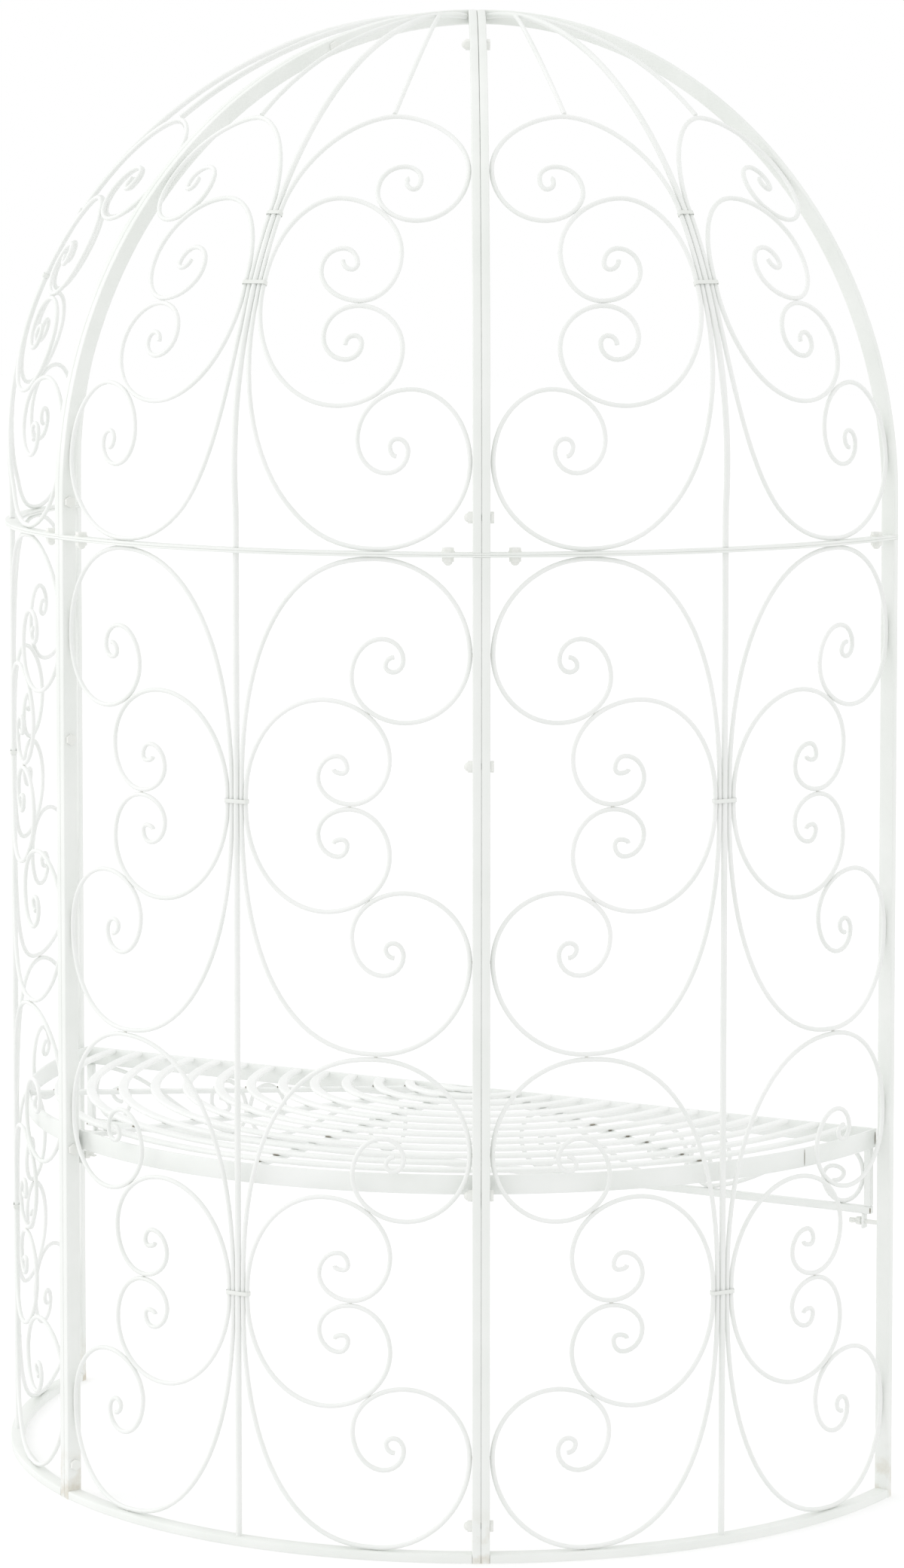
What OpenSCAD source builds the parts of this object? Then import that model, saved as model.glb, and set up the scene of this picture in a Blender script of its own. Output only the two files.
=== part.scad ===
// Half-round garden arbour of welded wrought-iron scrollwork with a half-disc
// bench, open at the front. Three curved wall panels stand side by side, and
// each carries a dome gore between two bent ribs. Millimetres. +Z is up, the
// open front faces -Y, and the origin is on the floor, under the middle of
// the plan.

/* [Plan] */
// angle that each of the three panels spans about the axis, in degrees
panel_angle = 58; // [50:0.5:60]
// radius of the outer face of the posts, which is half the overall width
wall_radius = 650; // [560:5:760]
// slit between the posts of neighbouring panels
seam_gap = 0.4; // [0.3:0.1:3]

/* [Frame bars] */
// height of the posts, from the floor to the underside of the top rail
post_height = 1280; // [1160:4:1440]
// face of the post and rib tube that shows from outside
tube_width = 11; // [8:1:14]
// depth of the post and rib tube, measured towards the axis
tube_depth = 20; // [16:1:26]
// thickness of the flat top rail, and of the ring bar that lies on it
bar_thickness = 3; // [2.5:0.5:6]
// straight foot of each rib, between the ring bar and the bend
rib_leg = 48; // [30:1:90]

/* [Scrollwork] */
// thickness of the scroll rods
rod = 6; // [5:0.5:8]
// thickness of the straight rod up the middle of each panel and gore
mid_rod = 8; // [7:0.5:10]
// how far the middle of a gore stands out beyond a true dome
gore_belly = 18; // [0:1:25]
// height of the collars that bind the rods together
collar_height = 10; // [8:1:14]
// wall thickness of the collars
collar_wall = 2; // [1.5:0.5:3]

/* [Bench] */
// height of the seat above the floor
seat_height = 494; // [440:2:540]
// height of the band round the seat
band_height = 25; // [20:1:34]
// thickness of that band
band_thickness = 4; // [3:0.5:6]
// number of concentric seat slats
slat_count = 13; // [9:1:15]
// width of a slat
slat_width = 14; // [10:1:18]
// thickness of a slat, whose long edges are round
slat_thickness = 6; // [4:0.5:8]
// gap between the bench's rim and the wall posts
bench_gap = 5; // [3:0.5:12]
// height of the open apron under the front edge, down to its rail's top
apron_height = 80; // [70:1:110]

/* [Fasteners] */
// size across the flats of the bolt heads and cap nuts
bolt_flats = 13; // [11:1:16]
// thickness of the bolts
bolt_size = 8; // [6:1:9]

/* [Part to show] */
// sub-part to draw, or all of them

/* [Hidden] */

$fn = 96;
fit = 0.3;
half = panel_angle/2;
turn = 180/PI;
mid_radius = wall_radius - tube_depth/2;
inner_radius = wall_radius - tube_depth;
edge = seam_gap/2 + tube_width;
rail_top = post_height + bar_thickness;
ring_top = rail_top + bar_thickness;
dome_z = ring_top + rib_leg;
front_y = inner_radius*cos(3*half) + seam_gap/2*sin(3*half);
crown_y = seam_gap/2/sin(half)*cos(2*half);
plan_middle = (wall_radius + crown_y)/2;
paint = [0.88, 0.90, 0.87];
steel = [0.80, 0.82, 0.79];

// reach of the scrollwork from a panel's middle to the face of its post
half_width = mid_radius*(half - asin(edge/mid_radius))/turn;
rod_seat = rod/2 + fit;
outer_at = mid_rod/2 + rod/2 + fit;
inner_at = outer_at + rod + fit;
bundle_half = inner_at + rod/2;

// quarter turns of each scroll as [reach across, reach up or down], outermost
// first, for a tier 637 high on a panel 626 wide
wall_outer_turns = [[120, 120], [83, 87], [68, 57], [40, 49], [27, 26], [13, 16], [10, 8], [11, 11]];
wall_inner_turns = [[86, 74], [52, 58], [42, 33], [26, 28], [13, 15], [7, 7], [11, 5]];
gore_low_outer_turns = [[118, 110], [72, 90], [69, 65], [36, 40], [28, 28], [13, 15], [10, 10], [8, 12]];
gore_low_inner_turns = [[85, 75], [53, 53], [47, 43], [27, 27], [22, 21], [9, 10], [12, 12]];
gore_high_outer_turns = [[87, 87], [70, 86], [45, 39], [37, 45], [18, 18], [10, 18], [8, 9], [3, 8]];
gore_high_inner_turns = [[76, 76], [54, 68], [48, 38], [30, 33], [17, 20], [8, 9], [11, 12]];
apron_turns = [[26, 34], [31, 39.4], [27, 31], [15, 15], [15, 8], [16, 12]];

tiers = 2;
tier_height = (post_height - tube_width)/tiers;
wall_scale = min(tier_height/637, half_width/312.9);

// levels up a gore, measured along the dome from the ring bar's top
gore_length = rib_leg + mid_radius*PI/2;
gore_scale = min(gore_length/1049.3, mid_radius*panel_angle/58/640);
tie_low = 0.319*gore_length;
tie_high = 0.412*gore_length;
kiss_level = 0.2964*gore_length;
top_level = 0.573*gore_length;
brace_end = 0.887*gore_length;

// heights of the bolts through neighbouring posts and ribs
post_bolts = [0.036*post_height, seat_height - band_height + 2, 0.794*post_height];
rib_bolts = [-rib_leg/11, 68.5];
ring_bolt_at = 42;

// bench
bench_radius = inner_radius - bench_gap;
band_inner = bench_radius - band_thickness;
band_z = seat_height - band_height;
slat_z = seat_height - slat_thickness;
slat_pitch = band_inner/(slat_count + 1);
spoke_width = 12;
spoke_thickness = 6;
back_y = front_y + band_thickness;
apron_bar = 10;
apron_top = band_z;
apron_z = band_z - apron_height - apron_bar;
apron_end = sqrt(band_inner*band_inner - pow(front_y + apron_bar, 2));
apron_x = apron_end - apron_bar;
wing_z = apron_z - 11;

function unit(v) = v/norm(v);
function total(v, n) = n == 0 ? 0 : v[n - 1] + total(v, n - 1);
function scaled(turns, k) = [for (e = turns) e*k];
function flipped(path) = [for (p = path) [p.x, -p.y]];
function backwards(path) = [for (i = [len(path) - 1 : -1 : 0]) path[i]];

// start of quarter turn i of a scroll that begins at p, heading for the post
function turn_start(p, turns, i) = i == 0 ? p :
    let (q = turn_start(p, turns, i - 1), e = turns[i - 1], a = 90*i)
    [q.x - e.x*cos(a) + e.x*cos(a + 90), q.y - e.y*sin(a) + e.y*sin(a + 90)];

// facets of one quarter turn, by its reach
function facets(e) = let (r = max(e.x, e.y)) r > 100 ? 4 : r > 60 ? 3 : r > 20 ? 2 : 1;

// points round a scroll, from its first quarter turn to its inner end
function scroll(p, turns) = [
    for (i = [0 : len(turns) - 1])
        let (q = turn_start(p, turns, i), e = turns[i], a = 90 + 90*i, n = facets(e))
        for (j = [0 : n - 1 + (i == len(turns) - 1 ? 1 : 0)])
            let (b = a + 90*j/n)
            [q.x - e.x*cos(a) + e.x*cos(b), q.y - e.y*sin(a) + e.y*sin(b)]
];

// long sweep from a, where the rod stands upright, to b, where it lies level
function sweep(a, b, bulge, n) = [
    for (i = [0 : n - 1])
        let (t = 90*i/n)
        [b.x + (a.x - b.x)*pow(cos(t), 2/bulge), a.y + (b.y - a.y)*pow(sin(t), 2/bulge)]
];

// clear distance between two ellipses whose centres lie dx and dy apart
function clearance(dx, dy, e, f) = max([
    for (t = [0 : 3 : 90])
        dx*cos(t) + dy*sin(t) - norm([e.x*cos(t), e.y*sin(t)]) - norm([f.x*cos(t), f.y*sin(t)])
]);

// sideways distance at which two turns just touch, found by halving
function touching(dy, e, f, gap, low, high, n = 20) =
    n == 0 ? (low + high)/2 :
    let (m = (low + high)/2)
    clearance(m, dy, e, f) > gap ?
        touching(dy, e, f, gap, low, m, n - 1) : touching(dy, e, f, gap, m, high, n - 1);

// where the inner scroll starts, given that its first turn rests on the third
// turn of the outer one
function inner_start(outer, inner, dy, gap) =
    rod_seat + outer[1].x + touching(dy, outer[2], inner[0], gap, 0.35*(outer[2].x + inner[0].x), 2*half_width);

// Wall: x is measured from the post's face and y from the middle of the tier
wall_outer = scaled(wall_outer_turns, wall_scale);
wall_inner = scaled(wall_inner_turns, wall_scale);
wall_top = tier_height/2 - rod_seat;
wall_kiss = (rod + fit)/2;
wall_inner_top = wall_kiss + wall_inner[1].y + wall_inner[0].y;
wall_reach = wall_top - wall_outer[0].y - wall_outer[1].y + wall_outer[2].y
    - wall_kiss - wall_inner[1].y;
wall_inner_x = inner_start(wall_outer, wall_inner, wall_reach, rod + fit);
stem = collar_height/2 + 1;

function wall_half(start, bulge, top, turns, n) =
    concat(sweep([half_width - start, stem], top, bulge, n), scroll(top, turns));
outer_half = wall_half(outer_at, 2.33, [rod_seat + wall_outer[0].x, wall_top], wall_outer, 4);
inner_half = wall_half(inner_at, 2, [wall_inner_x, wall_inner_top], wall_inner, 3);
outer_whole = concat(backwards(flipped(outer_half)), outer_half);
inner_whole = concat(backwards(flipped(inner_half)), inner_half);

// a flat point laid on the round wall, with the outward direction there
function on_wall(p, level, hand) =
    let (a = hand*(half_width - p.x)/mid_radius*turn)
    [[-mid_radius*sin(a), mid_radius*cos(a), level + p.y], [-sin(a), cos(a), 0]];

// Dome: the latitude reached s along a gore, and how far the gore bellies out
function latitude(s) = max(0, (s - rib_leg)/mid_radius*turn);
function belly(s) = gore_belly*max(-0.1, 1 - pow(abs(1 - latitude(s)/44), 3));
function gore_radius(s) = (mid_radius + belly(s))*cos(latitude(s));

// bearing from a gore's middle of a point given from the middle or the rib
function from_middle(p) = [p.x/gore_radius(p.y)*turn, p.y];
function from_rib(p) = [half - (p.x + edge)/(mid_radius*cos(latitude(p.y)))*turn, p.y];

// a point of a gore, at a bearing and a distance up it, with its outward way
function on_gore(p, hand) =
    let (lat = latitude(p.y), a = hand*p.x,
         r = mid_radius + belly(p.y)*sin(90*(half - abs(p.x))/half),
         z = dome_z + min(0, p.y - rib_leg))
    [[-r*cos(lat)*sin(a), r*cos(lat)*cos(a), z + r*sin(lat)],
     [-cos(lat)*sin(a), cos(lat)*cos(a), sin(lat)]];

low_outer = scaled(gore_low_outer_turns, gore_scale);
low_inner = scaled(gore_low_inner_turns, gore_scale);
high_outer = scaled(gore_high_outer_turns, gore_scale);
high_inner = scaled(gore_high_inner_turns, gore_scale);
skew_gap = rod + 1;

low_reach = kiss_level - wall_kiss - low_inner[1].y
    - (rod_seat + low_outer[0].y + low_outer[1].y - low_outer[2].y);
low_inner_x = inner_start(low_outer, low_inner, low_reach, skew_gap);
high_reach = top_level - high_outer[0].y - high_outer[1].y + high_outer[2].y
    - (kiss_level + wall_kiss + high_inner[1].y);
high_inner_x = inner_start(high_outer, high_inner, high_reach, skew_gap);

// a gore point given from the rib, told from the middle instead
function to_middle(p) = [from_rib(p).x/turn*gore_radius(p.y), p.y];

function gore_half(start, level, bulge, top, turns, n, way) =
    let (flat = scroll([top.x, way*top.y], turns),
         swung = sweep([start, level], to_middle(top), bulge, n))
    concat([for (p = swung) from_middle(p)], [for (p = flat) from_rib([p.x, way*p.y])]);

gore_outer = concat(
    backwards(gore_half(outer_at, tie_low - stem, 2.35, [rod_seat + low_outer[0].x, rod_seat], low_outer, 4, -1)),
    [from_middle([outer_at, tie_low + stem])],
    gore_half(outer_at, tie_high + stem, 1.8, [rod_seat + high_outer[0].x, top_level], high_outer, 4, 1)
);
gore_inner = concat(
    backwards(gore_half(inner_at, tie_low - stem, 2,
        [low_inner_x, kiss_level - wall_kiss - low_inner[1].y - low_inner[0].y], low_inner, 3, -1)),
    gore_half(inner_at, tie_low + stem, 2.1,
        [high_inner_x, kiss_level + wall_kiss + high_inner[1].y + high_inner[0].y], high_inner, 3, 1)
);

// straight rod up the middle of a gore, ending between the ribs at the crown
crown_end = rib_leg + mid_radius*acos((mid_rod/2 + fit + edge)/sin(half)/mid_radius)/turn;
crown_path = concat(
    [for (i = [0 : 3]) [0, fit + (tie_low - fit)*i/4]],
    [for (i = [0 : 5]) [0, i == 0 ? tie_low : tie_high + (brace_end - tie_high)*(i - 1)/4]],
    [[0, crown_end]]
);

// brace from the top of a high scroll to the middle rod below the crown
brace_x = to_middle([rod_seat + high_outer[0].x, top_level]).x - 9*gore_scale;
// how far the flat facets of a scroll lie inside its true curve there
facet_sag = 2.9;
brace_foot = top_level + 0.7*rod + fit - facet_sag;
brace_path = [
    for (i = [0 : 3])
        let (t = i/3)
        from_middle([outer_at + (brace_x - outer_at)*(1 - 0.47*t - 0.53*t*t),
            brace_foot + (brace_end - brace_foot)*t])
];

// one ring of corners round a rod, square to its run, a corner facing outward
function ring(path, i, width, sides) =
    let (last = len(path) - 1,
         back = unit(path[max(i, 1)][0] - path[max(i, 1) - 1][0]),
         on = unit(path[min(i + 1, last)][0] - path[min(i + 1, last) - 1][0]),
         along = unit(back + on),
         side = unit(cross(along, path[i][1])),
         out = cross(side, along),
         r = width/2/max([for (j = [0 : sides - 1]) sin(360*j/sides)]),
         mitre = 2/norm(back + on))
    [for (j = [0 : sides - 1])
        path[i][0] + r*cos(360*j/sides)*out + r*mitre*sin(360*j/sides)*side];

// bent round rods, each along its own path of points and outward directions
module rods(paths, width, sides = 5) {
    counts = [for (path = paths) len(path)];
    corners = [for (path = paths) for (i = [0 : len(path) - 1]) each ring(path, i, width, sides)];
    skins = [
        for (k = [0 : len(paths) - 1])
            let (first = sides*total(counts, k))
            for (i = [0 : counts[k] - 2])
                for (j = [0 : sides - 1])
                    let (a = first + i*sides + j, b = first + i*sides + (j + 1)%sides)
                    each [[a, a + sides, b + sides], [a, b + sides, b]]
    ];
    caps = [
        for (k = [0 : len(paths) - 1])
            let (first = sides*total(counts, k), final = sides*(total(counts, k + 1) - 1))
            for (j = [1 : sides - 2])
                each [[first, first + j, first + j + 1], [final, final + j + 1, final + j]]
    ];
    polyhedron(points = corners, faces = concat(skins, caps));
}

// stands a panel at its bearing: 1 is the left one, 0 the rear, -1 the right
module panel(side) {
    translate([0, -plan_middle, 0])
        rotate([0, 0, side*panel_angle])
            children();
}

// a horizontal hole for a bolt through a post or rib tube
module bolt_hole(radius, level) {
    translate([-tube_width - seam_gap, radius, level])
        rotate([0, 90, 0])
            cylinder(h = 2*tube_width + 2*seam_gap, r = bolt_size/2 + fit, $fn = 32);
}

// radius and height of the bolt at an angle up a rib, or below its bend
function rib_bolt(a) = a < 0 ?
    [mid_radius, dome_z + a] : [mid_radius*cos(a), dome_z + mid_radius*sin(a)];

// an upright tube at one end of a panel; at a seam it is bolted to the next
module post(end, seam) {
    rotate([0, 0, end*half])
        difference() {
            translate([end > 0 ? seam_gap/2 : -seam_gap/2 - tube_width, inner_radius, 0])
                cube([tube_width, tube_depth, post_height]);
            if (seam)
                for (level = post_bolts)
                    bolt_hole(mid_radius, level);
        }
}

// a bar bent round the axis between two bearings each side of the middle
module arc_bar(radius, width, level, thickness, reach) {
    rotate([0, 0, 90 - reach])
        rotate_extrude(angle = 2*reach, $fn = 180)
            translate([radius, level])
                square([width, thickness]);
}

// the flat tube between the feet of two posts
module base_rail() {
    difference() {
        arc_bar(inner_radius, tube_depth, 0, tube_width, half - asin(seam_gap/mid_radius));
        for (end = [-1, 1])
            rotate([0, 0, end*half])
                translate([end > 0 ? -tube_width : -edge, inner_radius - tube_depth, -tube_width])
                    cube([tube_width + edge, 3*tube_depth, 3*tube_width]);
    }
}

// a flat bar over the post tops, with a bolt hole near each end
module flat_bar(level) {
    difference() {
        arc_bar(inner_radius, tube_depth, level, bar_thickness, half - asin(seam_gap/2/mid_radius));
        for (end = [-1, 1])
            rotate([0, 0, end*(half - ring_bolt_at/mid_radius*turn)])
                translate([0, mid_radius, level - 1])
                    cylinder(h = bar_thickness + 2, r = bolt_size/2 + fit, $fn = 32);
    }
}

module wall_mid_rod() {
    translate([0, mid_radius, tube_width])
        cylinder(h = post_height - tube_width, r = mid_rod/2, $fn = 48);
}

// the C scrolls of both tiers, left and right of the middle rod
module wall_scrolls(path) {
    rods([
        for (tier = [0 : tiers - 1])
            for (hand = [-1, 1])
                [for (p = path) on_wall(p, tube_width + (tier + 0.5)*tier_height, hand)]
    ], rod);
}

// the two C scrolls of a gore
module gore_scrolls(path) {
    rods([for (hand = [-1, 1]) [for (p = path) on_gore(p, hand)]], rod);
}

// a pressed collar round a bundle of upright rods, centred on the wall line
module collar(half_bundle) {
    difference() {
        cube([2*(half_bundle + fit + collar_wall), mid_rod + 3*fit + 2*collar_wall, collar_height],
            center = true);
        cube([2*(half_bundle + fit), mid_rod + 3*fit, collar_height + 2], center = true);
    }
}

// a collar laid on a gore's middle, square to its slope
module tie(level, half_bundle) {
    translate(on_gore([0, level], 1)[0])
        rotate([latitude(level), 0, 0])
            collar(half_bundle);
}

// a rib: a straight foot and a quarter bend, mitred against its twin
module rib(end, seam) {
    difference() {
        rotate([0, 0, end*half])
            translate([end > 0 ? seam_gap/2 : -seam_gap/2 - tube_width, 0, 0])
                rotate([90, 0, 90])
                    linear_extrude(tube_width)
                        rib_profile();
        translate([end > 0 ? 0 : -2*wall_radius, -wall_radius, 0])
            cube([2*wall_radius, 3*wall_radius, 3*dome_z]);
        if (seam)
            rotate([0, 0, end*half])
                for (a = rib_bolts)
                    bolt_hole(rib_bolt(a).x, rib_bolt(a).y);
    }
}

// the rib seen from the side
module rib_profile() {
    translate([inner_radius, ring_top])
        square([tube_depth, rib_leg]);
    translate([0, dome_z])
        difference() {
            circle(r = wall_radius, $fn = 240);
            circle(r = inner_radius, $fn = 240);
            translate([-2*wall_radius, -wall_radius])
                square([2*wall_radius, 3*wall_radius]);
            translate([-wall_radius, -2*wall_radius])
                square([3*wall_radius, 2*wall_radius]);
        }
}

module crown_rod() {
    rods([[for (p = crown_path) on_gore(p, 1)]], mid_rod, 8);
}

module crown_braces() {
    rods([for (hand = [-1, 1]) [for (p = brace_path) on_gore(p, hand)]], rod);
}

// the part of a round plate that lies behind the bench's front band
module behind_band(radius) {
    intersection() {
        circle(r = radius, $fn = 240);
        translate([-radius, back_y])
            square([2*radius, radius]);
    }
}

// bolt along +Z: hexagon head below z = 0, cap nut above the grip
module bolt(grip, washer) {
    translate([0, 0, -washer - 4.5])
        cylinder(h = 4.5, r = bolt_flats/2/cos(30), $fn = 6);
    translate([0, 0, -washer])
        cylinder(h = washer, r = bolt_flats*0.65, $fn = 32);
    translate([0, 0, -1])
        cylinder(h = grip + 2, r = bolt_size/2, $fn = 32);
    translate([0, 0, grip])
        cylinder(h = 6, r = bolt_flats/2/cos(30), $fn = 6);
    translate([0, 0, grip + 5])
        sphere(r = bolt_flats/2 - 0.6, $fn = 32);
}

// wing nut on a stud that runs along +Z to the face of a post
module wing_bolt(length) {
    cylinder(h = length, r = 3, $fn = 24);
    translate([0, 0, length*0.24])
        cylinder(h = 7, r = 5.5, $fn = 24);
    for (a = [-115, 115])
        translate([0, 0, length*0.24 + 3.5])
            rotate([0, a, 0])
                translate([-3.5, -1.2, 3])
                    cube([7, 2.4, 12]);
}

// Wall
module left_post_front() { color(paint) panel(1) post(1, false); }
module left_post_rear() { color(paint) panel(1) post(-1, true); }
module rear_post_left() { color(paint) panel(0) post(1, true); }
module rear_post_right() { color(paint) panel(0) post(-1, true); }
module right_post_rear() { color(paint) panel(-1) post(1, true); }
module right_post_front() { color(paint) panel(-1) post(-1, false); }
module left_base_rail() { color(paint) panel(1) base_rail(); }
module rear_base_rail() { color(paint) panel(0) base_rail(); }
module right_base_rail() { color(paint) panel(-1) base_rail(); }
module left_top_rail() { color(paint) panel(1) flat_bar(post_height); }
module rear_top_rail() { color(paint) panel(0) flat_bar(post_height); }
module right_top_rail() { color(paint) panel(-1) flat_bar(post_height); }
module left_mid_rod() { color(paint) panel(1) wall_mid_rod(); }
module rear_mid_rod() { color(paint) panel(0) wall_mid_rod(); }
module right_mid_rod() { color(paint) panel(-1) wall_mid_rod(); }
module left_outer_scrolls() { color(paint) panel(1) wall_scrolls(outer_whole); }
module rear_outer_scrolls() { color(paint) panel(0) wall_scrolls(outer_whole); }
module right_outer_scrolls() { color(paint) panel(-1) wall_scrolls(outer_whole); }
module left_inner_scrolls() { color(paint) panel(1) wall_scrolls(inner_whole); }
module rear_inner_scrolls() { color(paint) panel(0) wall_scrolls(inner_whole); }
module right_inner_scrolls() { color(paint) panel(-1) wall_scrolls(inner_whole); }

module wall_collars() {
    color(paint)
        for (side = [-1 : 1])
            for (tier = [0 : tiers - 1])
                panel(side)
                    translate([0, mid_radius, tube_width + (tier + 0.5)*tier_height])
                        collar(bundle_half);
}

// Dome
module left_ring_bar() { color(paint) panel(1) flat_bar(rail_top); }
module rear_ring_bar() { color(paint) panel(0) flat_bar(rail_top); }
module right_ring_bar() { color(paint) panel(-1) flat_bar(rail_top); }
module left_rib_front() { color(paint) panel(1) rib(1, false); }
module left_rib_rear() { color(paint) panel(1) rib(-1, true); }
module rear_rib_left() { color(paint) panel(0) rib(1, true); }
module rear_rib_right() { color(paint) panel(0) rib(-1, true); }
module right_rib_rear() { color(paint) panel(-1) rib(1, true); }
module right_rib_front() { color(paint) panel(-1) rib(-1, false); }
module left_crown_rod() { color(paint) panel(1) crown_rod(); }
module rear_crown_rod() { color(paint) panel(0) crown_rod(); }
module right_crown_rod() { color(paint) panel(-1) crown_rod(); }
module left_gore_outer_scrolls() { color(paint) panel(1) gore_scrolls(gore_outer); }
module rear_gore_outer_scrolls() { color(paint) panel(0) gore_scrolls(gore_outer); }
module right_gore_outer_scrolls() { color(paint) panel(-1) gore_scrolls(gore_outer); }
module left_gore_inner_scrolls() { color(paint) panel(1) gore_scrolls(gore_inner); }
module rear_gore_inner_scrolls() { color(paint) panel(0) gore_scrolls(gore_inner); }
module right_gore_inner_scrolls() { color(paint) panel(-1) gore_scrolls(gore_inner); }
module left_crown_braces() { color(paint) panel(1) crown_braces(); }
module rear_crown_braces() { color(paint) panel(0) crown_braces(); }
module right_crown_braces() { color(paint) panel(-1) crown_braces(); }

module gore_lower_ties() {
    color(paint)
        for (side = [-1 : 1])
            panel(side)
                tie(tie_low, bundle_half);
}

module gore_upper_ties() {
    color(paint)
        for (side = [-1 : 1])
            panel(side)
                tie(tie_high, outer_at + rod/2);
}

// Bench
module bench_rim() {
    color(paint)
        panel(0)
            translate([0, 0, band_z])
                linear_extrude(band_height)
                    difference() {
                        behind_band(bench_radius);
                        circle(r = band_inner, $fn = 240);
                    }
}

module bench_front_band() {
    color(paint)
        panel(0)
            translate([0, 0, band_z])
                linear_extrude(band_height)
                    intersection() {
                        circle(r = bench_radius, $fn = 240);
                        translate([-bench_radius, front_y])
                            square([2*bench_radius, band_thickness]);
                    }
}

module bench_slats() {
    color(paint)
        panel(0)
            translate([0, 0, slat_z])
                for (i = [1 : slat_count])
                    slat(slat_pitch*i + slat_width/4);
}

// one slat: a flat oval bar bent to a half circle, which butts on the front band
module slat(radius) {
    flat = slat_width - slat_thickness;
    intersection() {
        translate([-wall_radius, back_y, 0])
            cube([2*wall_radius, wall_radius, slat_thickness]);
        rotate_extrude($fn = 192)
            translate([radius, slat_thickness/2]) {
                square([flat, slat_thickness], center = true);
                for (side = [-1, 1])
                    translate([side*flat/2, 0])
                        circle(d = slat_thickness, $fn = 24);
            }
    }
}

// flat bars under the slats, spread like a fan from the front band
module bench_spokes() {
    color(paint)
        panel(0)
            translate([0, 0, slat_z - spoke_thickness])
                linear_extrude(spoke_thickness)
                    for (bearing = [-2 : 2])
                        intersection() {
                            behind_band(band_inner);
                            rotate(bearing*half)
                                translate([-spoke_width/2, 0])
                                    square([spoke_width, bench_radius]);
                        }
}

module apron_rail() {
    color(paint)
        panel(0)
            translate([-apron_end, front_y, apron_z])
                cube([2*apron_end, apron_bar, apron_bar]);
}

module apron_uprights() {
    color(paint)
        panel(0)
            for (x = [-apron_end, apron_x])
                translate([x, front_y, apron_z + apron_bar])
                    cube([apron_bar, apron_bar, apron_height]);
}

// S scrolls of the apron, in mirrored pairs between the uprights
apron_half = (apron_height - 2*rod_seat)/2;
apron_scale = apron_half/36.7;
apron_s = scaled(apron_turns, apron_scale);
apron_reach = 127*apron_scale;
apron_top_x = apron_reach - apron_s[0].x;

function s_half() = concat(
    [for (i = [0 : 1]) let (t = i/2) [apron_top_x*t, apron_half*(1 - pow(1 - t, 1.6))]],
    [for (p = scroll([0, apron_half], apron_s)) [apron_top_x - p.x, p.y]]
);
s_tail = [for (p = s_half()) if (p.x != 0) -p];
s_whole = concat(backwards(s_tail), s_half());

module apron_scrolls() {
    middle = apron_top - apron_height/2;
    color(paint)
        panel(0)
            rods([
                for (side = [-1, 1])
                    for (k = [0, 1])
                        let (x = apron_x - rod_seat - apron_reach - k*(2*apron_reach + rod + fit))
                        [for (p = s_whole)
                            [[side*(x + (k == 0 ? p.x : -p.x)), front_y + band_thickness, middle + p.y],
                             [0, -1, 0]]]
            ], rod, 4);
}

// plates that hang from the bench and take its wing bolts
module bench_tabs() {
    color(paint)
        panel(0) {
            for (side = [-1, 1])
                rotate([0, 0, side*3*half])
                    translate([side*(edge - tube_width/2) - 6, inner_radius - 22, apron_z - 20])
                        tab(12, 20, 9);
            for (side = [-1, 1])
                rotate([0, 0, side*half])
                    translate([-8, band_inner + 0.5, band_z - 20])
                        tab(16, 20, 10);
        }
}

module tab(width, height, hole) {
    difference() {
        cube([width, 3, height]);
        translate([width/2, -1, hole])
            rotate([-90, 0, 0])
                cylinder(h = 5, r = 3.3, $fn = 24);
    }
}

// wing bolts that hold the bench to the front posts and at the rear seams
module bench_bolts() {
    color(steel)
        panel(0) {
            for (side = [-1, 1])
                rotate([0, 0, side*3*half])
                    translate([side*(edge - tube_width/2), inner_radius - 41.5, wing_z])
                        rotate([-90, 0, 0])
                            wing_bolt(41.5);
            for (side = [-1, 1])
                rotate([0, 0, side*half])
                    translate([0, inner_radius - 26, band_z - 10])
                        rotate([-90, 0, 0])
                            wing_bolt(26);
        }
}

// bolts across the seams: heads on one side, cap nuts on the other
module seam_bolts() {
    color(steel)
        for (side = [-1, 1])
            translate([0, -plan_middle, 0])
                rotate([0, 0, side*half]) {
                    for (level = post_bolts)
                        translate([-edge, mid_radius, level])
                            rotate([0, 90, 0])
                                bolt(2*edge, 0.2);
                    for (a = rib_bolts)
                        translate([-edge, rib_bolt(a).x, rib_bolt(a).y])
                            rotate([0, 90, 0])
                                bolt(2*edge, 0.2);
                }
}

// upright bolts that join the ring bars to the top rails
module ring_bolts() {
    color(steel)
        for (side = [-1 : 1])
            for (end = [-1, 1])
                panel(side)
                    rotate([0, 0, end*(half - ring_bolt_at/mid_radius*turn)])
                        translate([0, mid_radius, ring_top])
                            rotate([180, 0, 0])
                                bolt(2*bar_thickness, 1.6);
}

left_post_front();
left_post_rear();
rear_post_left();
rear_post_right();
right_post_rear();
right_post_front();
left_base_rail();
rear_base_rail();
right_base_rail();
left_top_rail();
rear_top_rail();
right_top_rail();
left_mid_rod();
rear_mid_rod();
right_mid_rod();
left_outer_scrolls();
rear_outer_scrolls();
right_outer_scrolls();
left_inner_scrolls();
rear_inner_scrolls();
right_inner_scrolls();
wall_collars();
left_ring_bar();
rear_ring_bar();
right_ring_bar();
left_rib_front();
left_rib_rear();
rear_rib_left();
rear_rib_right();
right_rib_rear();
right_rib_front();
left_crown_rod();
rear_crown_rod();
right_crown_rod();
left_gore_outer_scrolls();
rear_gore_outer_scrolls();
right_gore_outer_scrolls();
left_gore_inner_scrolls();
rear_gore_inner_scrolls();
right_gore_inner_scrolls();
left_crown_braces();
rear_crown_braces();
right_crown_braces();
gore_lower_ties();
gore_upper_ties();
bench_rim();
bench_front_band();
bench_slats();
bench_spokes();
apron_rail();
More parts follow.
